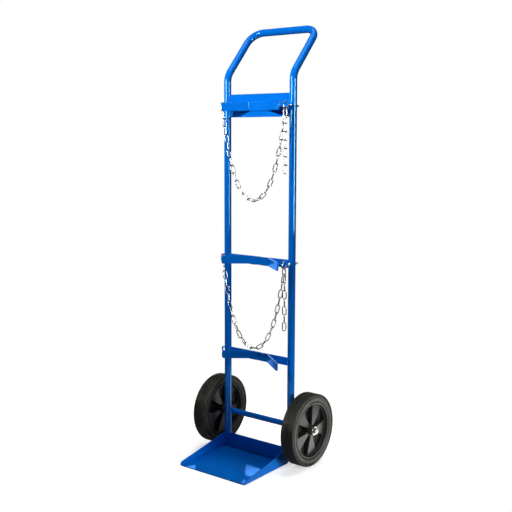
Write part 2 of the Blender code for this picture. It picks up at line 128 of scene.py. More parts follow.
def coated(name, colours, roughness, scales, bump, metallic=0.0, specular=0.5, specular_tint=(1, 1, 1)):
    """A material whose colour and roughness drift between two values, with a fine grain as bump.
    The scales are those of the drift and the grain, and the bump is its strength and depth."""
    made = bpy.data.materials.new(name)
    made.use_nodes = True
    tree = made.node_tree
    place = node(tree, "ShaderNodeTexCoord").outputs["Object"]
    drift = node(tree, "ShaderNodeGroup", {"Vector": place, "Cloud Scale": scales[0],
                 "Grain Scale": scales[1]}, node_tree=uneven_coat).outputs
    relief = node(tree, "ShaderNodeBump", {"Height": drift["Grain"], "Strength": bump[0],
                  "Distance": bump[1]})
    feed(tree, tree.nodes["Principled BSDF"].inputs, {
        "Base Color": mixed(tree, "RGBA", drift["Cloud"], *((*colour, 1) for colour in colours)),
        "Roughness": ranged(tree, drift["Cloud"], end=roughness),
        "Normal": relief.outputs["Normal"],
        "Metallic": metallic,
        "Specular IOR Level": specular,
        "Specular Tint": (*specular_tint, 1)})
    return made


blue_paint = coated("gloss_blue_paint", ((0.001, 0.155, 0.680), (0.002, 0.178, 0.740)),
                    roughness=(0.06, 0.11), scales=(9.0, 420.0), bump=(0.018, 0.0004),
                    specular=1.0, specular_tint=(0.3, 0.8, 1.0))


def growth(name, sizes):
    """A Geometry Nodes tree with a named input for each size, those inputs, and the step that closes it."""
    tree = bpy.data.node_groups.new(name, "GeometryNodeTree")
    add_sockets(tree, "INPUT", {"Geometry": "Geometry", **sizes, "Material": "Material"})
    add_sockets(tree, "OUTPUT", {"Geometry": "Geometry"})
    start = node(tree, "NodeGroupInput").outputs

    def close(made):
        smooth = node(tree, "GeometryNodeSetShadeSmooth", {"Geometry": made})
        real = node(tree, "GeometryNodeRealizeInstances", {"Geometry": smooth.outputs["Geometry"]})
        finish = node(tree, "GeometryNodeSetMaterial", {"Geometry": real.outputs["Geometry"],
                      "Material": start["Material"]})
        node(tree, "NodeGroupOutput", {"Geometry": finish.outputs["Geometry"]})

    return tree, start, close


def bent_rod_tree():
    """Round rod or tube along the start mesh's edges."""
    tree, sizes, close = growth("bent_rod", {"Radius": "Float", "Sides": "Int", "Capped": "Bool"})
    path = node(tree, "GeometryNodeMeshToCurve", {"Mesh": sizes["Geometry"]})
    profile = node(tree, "GeometryNodeCurvePrimitiveCircle", {"Resolution": sizes["Sides"],
                   "Radius": sizes["Radius"]})
    sweep = node(tree, "GeometryNodeCurveToMesh", {"Curve": path.outputs["Curve"],
                 "Profile Curve": profile.outputs["Curve"], "Fill Caps": sizes["Capped"]})
    close(sweep.outputs["Mesh"])
    return tree


bent_rod = bent_rod_tree()


def as_mesh(name, shape, material=None):
    mesh = bpy.data.meshes.new(name)
    shape.to_mesh(mesh)
    shape.free()
    if material:
        mesh.materials.append(material)
    return mesh


def placed(name, mesh):
    piece = bpy.data.objects.new(name, mesh)
    bpy.context.scene.collection.objects.link(piece)
    return piece


def settled(piece, crease=CREASE):
    """The piece as a plain mesh, with its modifiers worked in."""
    graph = bpy.context.evaluated_depsgraph_get()
    mesh = bpy.data.meshes.new_from_object(piece.evaluated_get(graph))
    piece.modifiers.clear()
    piece.data = mesh
    shape = bmesh.new()
    shape.from_mesh(mesh)
    bmesh.ops.remove_doubles(shape, verts=shape.verts, dist=MERGE_GAP)
    shape.to_mesh(mesh)
    shape.free()
    mesh.shade_smooth()
    mesh.set_sharp_from_angle(angle=crease)
    return piece


def grown(name, start, tree, sizes, material):
    """A piece that the tree grows on the start mesh, with the tree's inputs set to the given sizes."""
    piece = placed(name, start)
    step = piece.modifiers.new(tree.name, "NODES")
    step.node_group = tree
    values = {**sizes, "Material": material}
    for item in tree.interface.items_tree:
        if item.in_out == "INPUT" and item.name in values:
            step[item.identifier] = values[item.name]
    return settled(piece)


def polylines(name, runs):
    """A mesh of edges only, one chain of edges for each run of points."""
    mesh = bpy.data.meshes.new(name)
    points = [tuple(p) for run in runs for p in run]
    edges = []
    first = 0
    for run in runs:
        edges += [(first + i, first + i + 1) for i in range(len(run) - 1)]
        first += len(run)
    mesh.from_pydata(points, edges, [])
    return mesh


def rod_along(name, runs, radius, sides, material, capped=True):
    """A piece of rod along each run of points, or of open tube where it isn't capped."""
    sizes = {"Radius": radius, "Sides": sides, "Capped": capped}
    return grown(name, polylines(name, runs), bent_rod, sizes, material)


def rounded_path(corners, radii, steps):
    """Points along straight runs between corners, with an arc of the given radius at each inner corner."""
    corners = [Vector(c) for c in corners]
    points = [corners[0]]
    for before, corner, after, radius in zip(corners, corners[1:], corners[2:], radii):
        come = (corner - before).normalized()
        go = (after - corner).normalized()
        turn = come.angle(go)
        start = corner - come * radius * math.tan(turn / 2)
        inward = (go - come * come.dot(go)).normalized()
        for i in range(steps + 1):
            a = turn * i / steps
            points.append(start + come * radius * math.sin(a) + inward * radius * (1 - math.cos(a)))
    points.append(corners[-1])
    return points


def fit(piece, body, slot, *nodes):
    """The piece moves with its body and stands for the named nodes. The slot is not used."""
    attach(piece, body)
    if nodes:
        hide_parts(*nodes)


def drill(piece, places, radius):
    """Round holes along Y through the piece."""
    cutters = []
    for i, place in enumerate(places):
        shape = bmesh.new()
        bmesh.ops.create_cone(shape, cap_ends=True, segments=HOLE_SIDES, radius1=radius, radius2=radius,
                              depth=DRILL_LENGTH,
                              matrix=Matrix.Translation(place) @ Matrix.Rotation(math.pi / 2, 4, "X"))
        cutters.append(placed(f"drill_{i}", as_mesh(f"drill_{i}", shape)))
        step = piece.modifiers.new("hole", "BOOLEAN")
        step.operation = "DIFFERENCE"
        step.solver = "EXACT"
        step.object = cutters[-1]
    settled(piece)
    for cutter in cutters:
        bpy.data.objects.remove(cutter)


tube_side = [(UPRIGHT_X, UPRIGHT_Y, FOOT_Z), (UPRIGHT_X, UPRIGHT_Y, BEND_Z), (UPRIGHT_X, GRIP_Y, GRIP_Z)]
tube_path = rounded_path(tube_side + [(-x, y, z) for x, y, z in reversed(tube_side)],
                         (BEND_R, CORNER_R, CORNER_R, BEND_R), BEND_STEPS)
bent_tube = rod_along("bent_tube", [tube_path], TUBE_R, TUBE_SIDES, blue_paint, capped=False)
tube_wall = bent_tube.modifiers.new("wall", "SOLIDIFY")
tube_wall.thickness = TUBE_WALL
tube_wall.offset = -1
drill(bent_tube, [(UPRIGHT_X, UPRIGHT_Y, z) for z in CRADLE_Z.values()], HOOK_HOLE_R)
fit(bent_tube, "frame", "blue_paint", "frame_tube")

# Toe plate: 3 mm sheet, folded up along both sides and the back, so that the cylinder's foot can't slide off.
# The side flanges taper to a rounded nose, and the back wall is welded to the front of the uprights.
# Pieces that lie against each other keep a small clearance, as their solids do.
CLEARANCE = 0.0003
TOE_SHEET = 0.003
TOE_HALF_WIDTH = 0.141
TOE_DEPTH = 0.244
TOE_BACK_Y = UPRIGHT_Y - TUBE_R - CLEARANCE
TOE_FRONT_Y = TOE_BACK_Y - TOE_DEPTH
TOE_WALL_Z = 0.056
TOE_NOSE_Z = 0.013
TOE_NOSE_R = 0.008
TOE_NOSE_STEPS = 6
TOE_FOLD_R = 0.0045
TOE_FOLD_STEPS = 5
SHEET_EASE = 0.0007
EASED_ANGLE = math.radians(50)
BROAD_FACE = 1e-4
BROAD_MARGIN = 0.0005


def thicken(piece, thickness):
    wall = piece.modifiers.new("sheet", "SOLIDIFY")
    wall.thickness = thickness
    wall.offset = 1
    wall.use_even_offset = True
    wall.use_quality_normals = True


def ease_edges(piece, width):
    """Takes the sharp edges off, as shearing and paint do, and keeps the broad faces flat to the light."""
    edge = piece.modifiers.new("eased", "BEVEL")
    edge.width = width
    edge.segments = 2
    edge.limit_method = "ANGLE"
    edge.angle_limit = EASED_ANGLE
    settled(piece)
    shape = bmesh.new()
    shape.from_mesh(piece.data)
    broad = [f for f in shape.faces if f.calc_area() > BROAD_FACE]
    bmesh.ops.inset_individual(shape, faces=broad, thickness=BROAD_MARGIN, use_even_offset=True)
    shape.to_mesh(piece.data)
    shape.free()


def face_towards(shape, direction):
    """Turns the faces of a sheet so that the largest one looks in the direction."""
    bmesh.ops.recalc_face_normals(shape, faces=shape.faces)
    largest = max(shape.faces, key=lambda f: f.calc_area())
    if largest.normal.dot(Vector(direction)) < 0:
        bmesh.ops.reverse_faces(shape, faces=shape.faces)


def folded_pan():
    shape = bmesh.new()
    floor = [shape.verts.new((x * TOE_HALF_WIDTH, y, 0)) for x, y in
             ((-1, TOE_FRONT_Y), (1, TOE_FRONT_Y), (1, TOE_BACK_Y), (-1, TOE_BACK_Y))]
    noses = [shape.verts.new((x * TOE_HALF_WIDTH, TOE_FRONT_Y, TOE_NOSE_Z)) for x in (-1, 1)]
    tops = [shape.verts.new((x * TOE_HALF_WIDTH, TOE_BACK_Y, TOE_WALL_Z)) for x in (1, -1)]
    shape.faces.new(floor)
    shape.faces.new((floor[1], noses[1], tops[0], floor[2]))
    shape.faces.new((floor[2], tops[0], tops[1], floor[3]))
    shape.faces.new((floor[3], tops[1], noses[0], floor[0]))
    bmesh.ops.bevel(shape, geom=noses, offset=TOE_NOSE_R, segments=TOE_NOSE_STEPS, profile=0.5,
                    affect="VERTICES")
    folds = [e for e in shape.edges if len(e.link_faces) == 2]
    bmesh.ops.bevel(shape, geom=folds, offset=TOE_FOLD_R, segments=TOE_FOLD_STEPS, profile=0.5,
                    affect="EDGES")
    face_towards(shape, (0, 0, 1))
    return as_mesh("folded_pan", shape, blue_paint)


toe_pan = placed("folded_pan", folded_pan())
thicken(toe_pan, TOE_SHEET)
ease_edges(toe_pan, SHEET_EASE)
fit(toe_pan, "frame", "blue_paint", "toe_plate")

# Top plate and crossbars: flat steel between the uprights, sawn to length and welded to the tubes
# at both ends. The top one is a wide plate and the other two are flat bar.
BAR_EASE = 0.0008


def flat_steel(name, cad_node):
    low, high = (Vector(corner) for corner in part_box(cad_node))
    shape = bmesh.new()
    bmesh.ops.create_cube(shape, size=1)
    bmesh.ops.scale(shape, vec=high - low, verts=shape.verts)
    bmesh.ops.translate(shape, vec=(low + high) / 2, verts=shape.verts)
    piece = placed(name, as_mesh(name, shape, blue_paint))
    ease_edges(piece, BAR_EASE)
    fit(piece, "frame", "blue_paint", cad_node)
    return piece


flats = [flat_steel("wide_top_plate", "top_plate"), flat_steel("middle_flat_bar", "middle_crossbar"),
         flat_steel("lower_flat_bar", "lower_crossbar")]

# Cradles: flat bar on edge, bent twice on a press to a shallow trough for the cylinder's side.
# The corners of both ends are rounded, and the right wing is longer. Each is welded to the bar behind it.
BAR_T = 0.005
BAR_HEIGHT = 0.028
CRADLE_SEAT = 0.085
CRADLE_ANGLE = math.radians(38)
CRADLE_WINGS = {-1: 0.095, 1: 0.127}
CRADLE_BEND_R = 0.010
CRADLE_BEND_STEPS = 8
CRADLE_END_R = 0.009
CRADLE_END_STEPS = 6
CRADLE_BACK_Y = UPRIGHT_Y - BAR_T / 2 - CLEARANCE


def wing_end(side):
    """The end of a wing on the cradle's back face, and the wing's outward direction."""
    along = Vector((side * math.cos(CRADLE_ANGLE), -math.sin(CRADLE_ANGLE), 0))
    return Vector((side * CRADLE_SEAT / 2, CRADLE_BACK_Y, 0)) + along * CRADLE_WINGS[side], along


def trough(level):
    left, _ = wing_end(-1)
    right, _ = wing_end(1)
    seat = [(-CRADLE_SEAT / 2, CRADLE_BACK_Y, 0), (CRADLE_SEAT / 2, CRADLE_BACK_Y, 0)]
    path = rounded_path([left, *seat, right], (CRADLE_BEND_R, CRADLE_BEND_R), CRADLE_BEND_STEPS)
    shape = bmesh.new()
    low = [shape.verts.new((p.x, p.y, CRADLE_Z[level] - BAR_HEIGHT / 2)) for p in path]
    high = [shape.verts.new((p.x, p.y, CRADLE_Z[level] + BAR_HEIGHT / 2)) for p in path]
    for i in range(len(path) - 1):
        shape.faces.new((low[i], low[i + 1], high[i + 1], high[i]))
    corners = [low[0], high[0], low[-1], high[-1]]
    bmesh.ops.bevel(shape, geom=corners, offset=CRADLE_END_R, segments=CRADLE_END_STEPS, profile=0.5,
                    affect="VERTICES")
    face_towards(shape, (0, -1, 0))
    piece = placed(level + "_trough", as_mesh(level + "_trough", shape, blue_paint))
    thicken(piece, BAR_T)
    ease_edges(piece, BAR_EASE)
    fit(piece, "frame", "blue_paint", level + "_cradle")
    return piece


troughs = [trough(level) for level in CRADLE_Z]

# Chain eyes: round rod from the outside of the left upright, round a tight bend to the end of the left wing.
# Cut and bent cold, welded at both ends and painted with the frame.
EYE_R = 0.00275
EYE_SIDES = 16
EYE_STAND_OFF = 0.0155
EYE_BEND_R = 0.0065
EYE_BEND_STEPS = 12
EYE_ABOVE_MIDDLE = 0.009
EYE_INSET = 0.0045
EYE_GAP = 0.0006


def eye_corners(level):
    """The eye's end at the upright, the corner of its bend and its end at the wing."""
    end, along = wing_end(-1)
    backwards = Vector((along.y, -along.x, 0))
    foot = end - along * EYE_INSET + backwards * EYE_GAP
    z = CRADLE_Z[level] + EYE_ABOVE_MIDDLE
    tube_x = -(UPRIGHT_X + TUBE_R + CLEARANCE)
    return [Vector((tube_x, UPRIGHT_Y, z)), Vector((tube_x - EYE_STAND_OFF, UPRIGHT_Y, z)),
            Vector((foot.x, foot.y, z))]


for level in CRADLE_Z:
    path = rounded_path(eye_corners(level), (EYE_BEND_R,), EYE_BEND_STEPS)
    rod = rod_along(level + "_rod_eye", [path], EYE_R, EYE_SIDES, blue_paint)
    fit(rod, "frame", "blue_paint", level + "_chain_eye")

# Axle tube: a short steel tube across the backs of both uprights, welded to them and painted with the frame.
# The plated axle rod runs through it.
AXLE_TUBE_R = 0.010
AXLE_TUBE_HALF = 0.162
AXLE_Y = UPRIGHT_Y + (TUBE_R + AXLE_TUBE_R + CLEARANCE)
AXLE_Z = 0.125
AXLE_R = 0.006
AXLE_BORE_R = AXLE_R + CLEARANCE
SLEEVE_COLUMNS = 36
TURNED_EASE = 0.0006
ALONG_X = (Vector((1, 0, 0)), Vector((0, 1, 0)), Vector((0, 0, 1)))
ALONG_Y = (Vector((0, 1, 0)), Vector((0, 0, 1)), Vector((1, 0, 0)))


def skin(shape, rings):
    """Faces between each closed ring of points and the next one, right round."""
    for ring, following in zip(rings, rings[1:] + rings[:1]):
        for i in range(len(ring)):
            j = (i + 1) % len(ring)
            shape.faces.new((ring[i], following[i], following[j], ring[j]))
    bmesh.ops.recalc_face_normals(shape, faces=shape.faces)


def turned(name, section, columns, centre, axes, material):
    """A closed section of (radius, place along the axis, angle) rows, carried round the axis in columns."""
    axis, first, second = axes
    centre = Vector(centre)
    shape = bmesh.new()
    rings = []
    for k in range(columns):
        ring = []
        for r, along, a in section(2 * math.pi * k / columns):
            outwards = first * math.cos(a) + second * math.sin(a)
            ring.append(shape.verts.new(centre + axis * along + outwards * r))
        rings.append(ring)
    skin(shape, rings)
    return settled(placed(name, as_mesh(name, shape, material)))


def all_round(rows):
    """A section with the same (radius, place along the axis) rows at every angle."""
    return lambda angle: [(r, along, angle) for r, along in rows]


def sleeve(outer_r, inner_r, half_length):
    """The section of a tube, washer or bush with eased edges."""
    side = [(inner_r, half_length - TURNED_EASE), (inner_r + TURNED_EASE, half_length),
            (outer_r - TURNED_EASE, half_length), (outer_r, half_length - TURNED_EASE)]
    return all_round([(r, -along) for r, along in side] + side[::-1])


axle_sleeve = turned("axle_sleeve", sleeve(AXLE_TUBE_R, AXLE_BORE_R, AXLE_TUBE_HALF), SLEEVE_COLUMNS,
                     (0, AXLE_Y, AXLE_Z), ALONG_X, blue_paint)
fit(axle_sleeve, "frame", "blue_paint", "axle_tube")

# Welds: hand-laid beads where plates, bars, eyes, toe plate and axle tube meet the uprights, and along
# the cradles' seats. Each is a row of overlapping ripples of weld metal, under the same blue paint.
PLATE_BEAD = 0.0054
BAR_BEAD = 0.0034
SEAT_BEAD = 0.0019
EYE_BEAD = 0.8 * SEAT_BEAD
TOE_BEAD = 0.9 * BAR_BEAD
AXLE_BEAD = 0.0026
RIPPLE_PITCH = 0.8
RIPPLE_UNEVENNESS = 0.16
RIPPLE_FLATNESS = 0.72
RIPPLE_TURN = (math.radians(28), 0, math.radians(35))
BAR_END_X = UPRIGHT_X - TUBE_R
PLATE_WELD_INSET = 0.004
BAR_WELD_HALF = 0.011
SEAT_WELD_X = (-0.024, 0.024)
SEAT_WELD_HALF = 0.012
EYE_WELD_OUT = 0.0006
EYE_WELD_HALF = 0.003
EYE_WELD_STEPS = 16
TOE_WELD_INSET = 0.0065
TOE_WELD_BACK = 0.0012
TOE_WELD_Z = (0.012, TOE_WALL_Z - 0.003)
AXLE_WELD = (0.0070, 0.0022, 0.0062)  # half its width, depth and height
AXLE_WELD_STEPS = 32


def reckoned(tree, operation, *values, **settings):
    """The result of one sum in a node tree, on plain values or sockets."""
    made = node(tree, "ShaderNodeMath", dict(enumerate(values)), operation=operation, **settings)
    return made.outputs["Value"]


def weld_bead_tree():
    """Ripples along the start mesh's edges, each a little different from the last."""
    tree, sizes, close = growth("weld_bead", {"Bead": "Float", "Pitch": "Float", "Unevenness": "Float",
                                              "Seed": "Int"})
    path = node(tree, "GeometryNodeMeshToCurve", {"Mesh": sizes["Geometry"]})
    spots = node(tree, "GeometryNodeCurveToPoints", {"Curve": path.outputs["Curve"],
                 "Length": sizes["Pitch"]}, mode="LENGTH")
    ripple = node(tree, "GeometryNodeMeshIcoSphere", {"Radius": sizes["Bead"], "Subdivisions": 2})
    swell = node(tree, "FunctionNodeRandomValue", {"Seed": sizes["Seed"]}, data_type="FLOAT")
    limits = [typed(swell.inputs, "VALUE", label)[0] for label in ("Min", "Max")]
    feed(tree, limits, {0: reckoned(tree, "SUBTRACT", 1.0, sizes["Unevenness"]), 1: 1.0})
    flat = node(tree, "GeometryNodeTransform", {"Geometry": ripple.outputs["Mesh"],
                "Scale": (1.0, 1.0, RIPPLE_FLATNESS), "Rotation": RIPPLE_TURN})
    laid = node(tree, "GeometryNodeInstanceOnPoints", {"Points": spots.outputs["Points"],
                "Instance": flat.outputs["Geometry"], "Rotation": spots.outputs["Rotation"],
                "Scale": typed(swell.outputs, "VALUE")[0]})
    close(laid.outputs["Instances"])
    return tree


weld_bead = weld_bead_tree()


def upright_lines(x, y, low, high):
    """A line up each upright, at the same place on both."""
    return [[(side * x, y, low), (side * x, y, high)] for side in (-1, 1)]


def bar_end_lines(low, high):
    """A line up both ends of a bar, on each of its faces."""
    faces_y = [UPRIGHT_Y + face * BAR_T / 2 for face in (-1, 1)]
    return [run for y in faces_y for run in upright_lines(BAR_END_X, y, low, high)]


def full_turn(steps):
    return [2 * math.pi * i / steps for i in range(steps + 1)]


def weld(name, runs, bead, seed):
    sizes = {"Bead": bead, "Pitch": RIPPLE_PITCH * bead, "Unevenness": RIPPLE_UNEVENNESS, "Seed": seed}
    fit(grown(name, polylines(name, runs), weld_bead, sizes, blue_paint), "frame", "blue_paint")


plate_low, plate_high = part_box("top_plate")
weld("top_plate_welds", bar_end_lines(plate_low[2] + PLATE_WELD_INSET, plate_high[2] - PLATE_WELD_INSET),
     PLATE_BEAD, seed=3)
weld("crossbar_welds", [run for level in ("middle", "lower") for run in
                        bar_end_lines(CRADLE_Z[level] - BAR_WELD_HALF, CRADLE_Z[level] + BAR_WELD_HALF)],
     BAR_BEAD, seed=5)
seat_runs = []
for level, middle_z in CRADLE_Z.items():
    for edge in (-1, 1):
        if level == "upper" or edge < 0:
            z = middle_z + edge * BAR_HEIGHT / 2
            seat_runs += [[(x - SEAT_WELD_HALF, CRADLE_BACK_Y, z), (x + SEAT_WELD_HALF, CRADLE_BACK_Y, z)]
                          for x in SEAT_WELD_X]
weld("cradle_welds", seat_runs, SEAT_BEAD, seed=7)
eye_runs = []
for level in CRADLE_Z:
    tube_end, _, wing_foot = eye_corners(level)
    eye_runs.append([tube_end + Vector((-EYE_WELD_OUT, EYE_R * math.cos(a), EYE_R * math.sin(a)))
                     for a in full_turn(EYE_WELD_STEPS)])
    _, along = wing_end(-1)
    eye_runs.append([wing_foot + along * s + Vector((0, 0, drop)) for drop in (-EYE_R, EYE_R)
                     for s in (-EYE_WELD_HALF, EYE_WELD_HALF)])
weld("eye_welds", eye_runs, EYE_BEAD, seed=11)
weld("toe_plate_welds", upright_lines(UPRIGHT_X - TOE_WELD_INSET, TOE_BACK_Y + TOE_WELD_BACK, *TOE_WELD_Z),
     TOE_BEAD, seed=13)
axle_runs = []
for side in (-1, 1):
    middle = Vector((side * UPRIGHT_X, (UPRIGHT_Y + TUBE_R + AXLE_Y - AXLE_TUBE_R) / 2, AXLE_Z))
    wide, deep, tall = AXLE_WELD
    axle_runs.append([middle + Vector((wide * math.cos(a), deep * math.cos(2 * a), tall * math.sin(a)))
                      for a in full_turn(AXLE_WELD_STEPS)])
weld("axle_welds", axle_runs, AXLE_BEAD, seed=17)

# Chain hooks: open eye bolts of bright zinc plate, screwed through the right upright, with a nut on each
# side of the tube. The ring stays open at the top, so that a link can be lifted in. The shank is threaded.
HOOK_R = 0.003
HOOK_SIDES = 20
HOOK_RING_R = 0.0115
RING_START = math.radians(-55)
RING_END = math.radians(-240)
RING_STEPS = 30
HOOK_REACH = 0.045
HOOK_TAIL = 0.031
HOOK_TIP = 0.009
HOOK_NECK_R = 0.012
HOOK_NECK_STEPS = 6
HOOK_NUT_FLATS = 0.010
HOOK_NUT_T = 0.005
HOOK_NUT_COLUMNS = 48
NUT_FACE = 0.96
NUT_LEAD = 0.08
THREAD_PITCH = 0.0010
THREAD_RIDGE = 0.0003
THREAD_SIDES = 4
THREAD_STEPS = 14
FRONT_THREAD = 0.0045
RIGHT = Vector((1, 0, 0))

zinc_plate = coated("bright_zinc_plate", ((0.60, 0.61, 0.62), (0.80, 0.81, 0.82)), roughness=(0.17, 0.33),
                    scales=(70.0, 900.0), bump=(0.06, 0.0002), metallic=1.0)


def nut_section(flats_apart, bore_r, thickness):
    """A hexagon whose corners are turned off to 30 degrees on both faces."""
    def section(angle):
        edge_r = flats_apart / 2 / math.cos((angle + math.pi / 6) % (math.pi / 3) - math.pi / 6)
        face_r = NUT_FACE * flats_apart / 2
        half = thickness / 2
        corner = half - (edge_r - face_r) * math.tan(math.radians(30))
        lead = NUT_LEAD * bore_r
        rows = [(bore_r, lead - half), (bore_r + lead, -half), (face_r, -half), (edge_r, -corner),
                (edge_r, corner), (face_r, half), (bore_r + lead, half), (bore_r, half - lead)]
        return [(r, along, angle) for r, along in rows]
    return section


def thread_helix(start, axis, length):
    """The crest line of the thread on a hook's shank, along the axis from the start point."""
    across = axis.cross(RIGHT)
    steps = int(THREAD_STEPS * length / THREAD_PITCH)
    points = []
    for i in range(steps + 1):
        a = 2 * math.pi * i / THREAD_STEPS
        outwards = RIGHT * math.cos(a) + across * math.sin(a)
        points.append(start + axis * (length * i / steps) + outwards * HOOK_R)
    return points


def eye_bolt(level):
    z = CRADLE_Z[level]
    ring_y = UPRIGHT_Y - HOOK_REACH
    turns = [RING_START + (RING_END - RING_START) * i / RING_STEPS for i in range(RING_STEPS + 1)]
    loop = [Vector((UPRIGHT_X, ring_y + HOOK_RING_R * math.cos(a), z + HOOK_RING_R * math.sin(a)))
            for a in turns]
    tip = loop[-1] + Vector((0, math.sin(RING_END), -math.cos(RING_END))) * HOOK_TIP
    tail = Vector((UPRIGHT_X, UPRIGHT_Y + HOOK_TAIL, z))
    neck = Vector((UPRIGHT_X, ring_y + HOOK_RING_R / math.cos(RING_START), z))
    path = rounded_path([tail, neck, loop[0]], (HOOK_NECK_R,), HOOK_NECK_STEPS)[:-1] + loop + [tip]
    bolt = rod_along(level + "_eye_bolt", [path], HOOK_R, HOOK_SIDES, zinc_plate)
    fit(bolt, "frame", "zinc", level + "_hook")
    nut_y = TUBE_R + CLEARANCE + HOOK_NUT_T / 2
    back = UPRIGHT_Y + nut_y + HOOK_NUT_T / 2
    front = UPRIGHT_Y - nut_y - HOOK_NUT_T / 2
    threads = [thread_helix(Vector((UPRIGHT_X, back, z)), Vector((0, 1, 0)),
                            UPRIGHT_Y + HOOK_TAIL - back - THREAD_PITCH),
               thread_helix(Vector((UPRIGHT_X, front, z)), Vector((0, -1, 0)), FRONT_THREAD)]
    crest = rod_along(level + "_bolt_thread", threads, THREAD_RIDGE, THREAD_SIDES, zinc_plate)
    fit(crest, "frame", "zinc")
    section = nut_section(HOOK_NUT_FLATS, HOOK_R + CLEARANCE, HOOK_NUT_T)
    for face, place in ((-1, "front"), (1, "back")):
        nut = turned(f"{level}_{place}_bolt_nut", section, HOOK_NUT_COLUMNS,
                     (UPRIGHT_X, UPRIGHT_Y + face * nut_y, z), ALONG_Y, zinc_plate)
        fit(nut, "frame", "zinc", f"{level}_hook_{place}_nut")


for level in ("upper", "middle"):
    eye_bolt(level)

# Chains: long welded links of bright zinc plate, each lying across the last one. A chain hangs from its eye
# to the link that lies on its hook, and the spare end hangs straight down beside it. The links' ends, where
# they lie in each other, carry painted shade, and their plating is dull where they rub.
LINK_PITCH = 0.027
LINK_WIRE_R = 0.0017
LINK_WIDTH = 0.0152
LINK_FUSE = 0.0012
LINK_PRESS = 0.0002  # how far neighbouring links sink into each other
LINK_BEND_R = LINK_WIDTH / 2 - LINK_WIRE_R
LINK_OVERREACH = LINK_WIRE_R - LINK_FUSE / 2
LINK_SIZES = {"Length": LINK_PITCH + 2 * LINK_WIRE_R - LINK_PRESS, "Width": 2 * LINK_BEND_R,
              "Wire": LINK_WIRE_R, "End Steps": 7, "Wire Sides": 12}
LINK_ROUNDING = 0.4999
SHADE_AND_WEAR_FROM = (1.02, 0.88)  # share of half the link, where the painted shade and the rubbed roughness start inside its end
SHADE_AND_WEAR_TO = (0.76, 0.9)  # and where it stops along its sides
# Painted shade: a dark colour for the links' ends, where they lie in each other.
PAINTED_SHADE_COLOUR = (0.10, 0.10, 0.10, 1)
RUBBED_ROUGHNESS = 0.5
LOOP_LINKS = {"upper": 26, "middle": 25}
TAIL_LINKS = 7
EYE_SEAT_GAP = 0.014
SWING_GAP = 0.0004
SIDE_GAP = 0.001
SEAT_SLOPE = math.radians(30)
TURNED_AWAY = math.radians(30)
STEEPEST = 10.0
HALVINGS = 50

chain_zinc = coated("chain_zinc_plate", ((0.66, 0.67, 0.68), (0.86, 0.87, 0.88)), roughness=(0.14, 0.30),
                    scales=(90.0, 1100.0), bump=(0.05, 0.0002), metallic=1.0)


def shade_and_dull_ends(material):
    """Paints shade into the plating's colour and roughens the plating where the stored contact mask is high.
    """
    tree = material.node_tree
    inputs = tree.nodes["Principled BSDF"].inputs
    mask = node(tree, "ShaderNodeAttribute", attribute_name="contact").outputs["Fac"]
    for name, kind, shaded_and_worn in (("Base Color", "RGBA", PAINTED_SHADE_COLOUR), ("Roughness", "VALUE", RUBBED_ROUGHNESS)):
        bright = inputs[name].links[0].from_socket
        feed(tree, inputs, {name: mixed(tree, kind, mask, bright, shaded_and_worn)})


shade_and_dull_ends(chain_zinc)


def chain_links_tree():
    """A long link at each point, turned by the point's along and across directions."""
    tree, sizes, close = growth("chain_links", {"Length": "Float", "Width": "Float", "Wire": "Float",
                                                "End Steps": "Int", "Wire Sides": "Int"})
    outline = node(tree, "GeometryNodeCurvePrimitiveQuadrilateral", {"Width": sizes["Width"],
                   "Height": sizes["Length"]})
    oblong = node(tree, "GeometryNodeFilletCurve", {"Curve": outline.outputs["Curve"],
                  "Count": sizes["End Steps"],
                  "Radius": reckoned(tree, "MULTIPLY", sizes["Width"], LINK_ROUNDING)}, mode="POLY")
    profile = node(tree, "GeometryNodeCurvePrimitiveCircle", {"Resolution": sizes["Wire Sides"],
                   "Radius": sizes["Wire"]})
    link = node(tree, "GeometryNodeCurveToMesh", {"Curve": oblong.outputs["Curve"],
                "Profile Curve": profile.outputs["Curve"]})
    spot = node(tree, "GeometryNodeInputPosition")
    parts = node(tree, "ShaderNodeSeparateXYZ", {"Vector": spot.outputs["Position"]})
    # The contact mask marks the links' ends for painted shade and for rubbed roughness.
    reach = reckoned(tree, "ABSOLUTE", parts.outputs["Y"])
    share = reckoned(tree, "DIVIDE", reach, reckoned(tree, "MULTIPLY", sizes["Length"], 0.5))
    end_shade_and_wear = ranged(tree, share, SHADE_AND_WEAR_FROM, interpolation_type="SMOOTHSTEP")
    outer_end = ranged(tree, share, SHADE_AND_WEAR_TO, interpolation_type="SMOOTHSTEP")
    marked = node(tree, "GeometryNodeStoreNamedAttribute", {"Geometry": link.outputs["Mesh"],
                  "Name": "contact"}, data_type="FLOAT", domain="POINT")
    feed(tree, typed(marked.inputs, "VALUE", "Value"), {0: reckoned(tree, "MULTIPLY", end_shade_and_wear, outer_end)})
    turn = node(tree, "FunctionNodeAxesToRotation", primary_axis="Y", secondary_axis="X")
    for stored, label in (("along", "Primary Axis"), ("across", "Secondary Axis")):
        source = node(tree, "GeometryNodeInputNamedAttribute", {"Name": stored}, data_type="FLOAT_VECTOR")
        feed(tree, turn.inputs, {label: typed(source.outputs, "VECTOR")[0]})
    spots = node(tree, "GeometryNodeMeshToPoints", {"Mesh": sizes["Geometry"]})
    hung = node(tree, "GeometryNodeInstanceOnPoints", {"Points": spots.outputs["Points"],
                "Instance": marked.outputs["Geometry"], "Rotation": turn.outputs["Rotation"]})
    close(hung.outputs["Instances"])
    return tree


chain_links = chain_links_tree()


def link_points(name, links):
    """A mesh of one point for each (middle, along, across) of a link."""
    mesh = bpy.data.meshes.new(name)
    mesh.from_pydata([tuple(middle) for middle, _, _ in links], [], [])
    for label, place in (("along", 1), ("across", 2)):
        stored = mesh.attributes.new(label, "FLOAT_VECTOR", "POINT")
        for item, link in zip(stored.data, links):
            item.vector = link[place]
    return mesh


def hang_links(name, links, body, cad_node):
    piece = grown(name, link_points(name, links), chain_links, LINK_SIZES, chain_zinc)
    fit(piece, body, "zinc", cad_node)


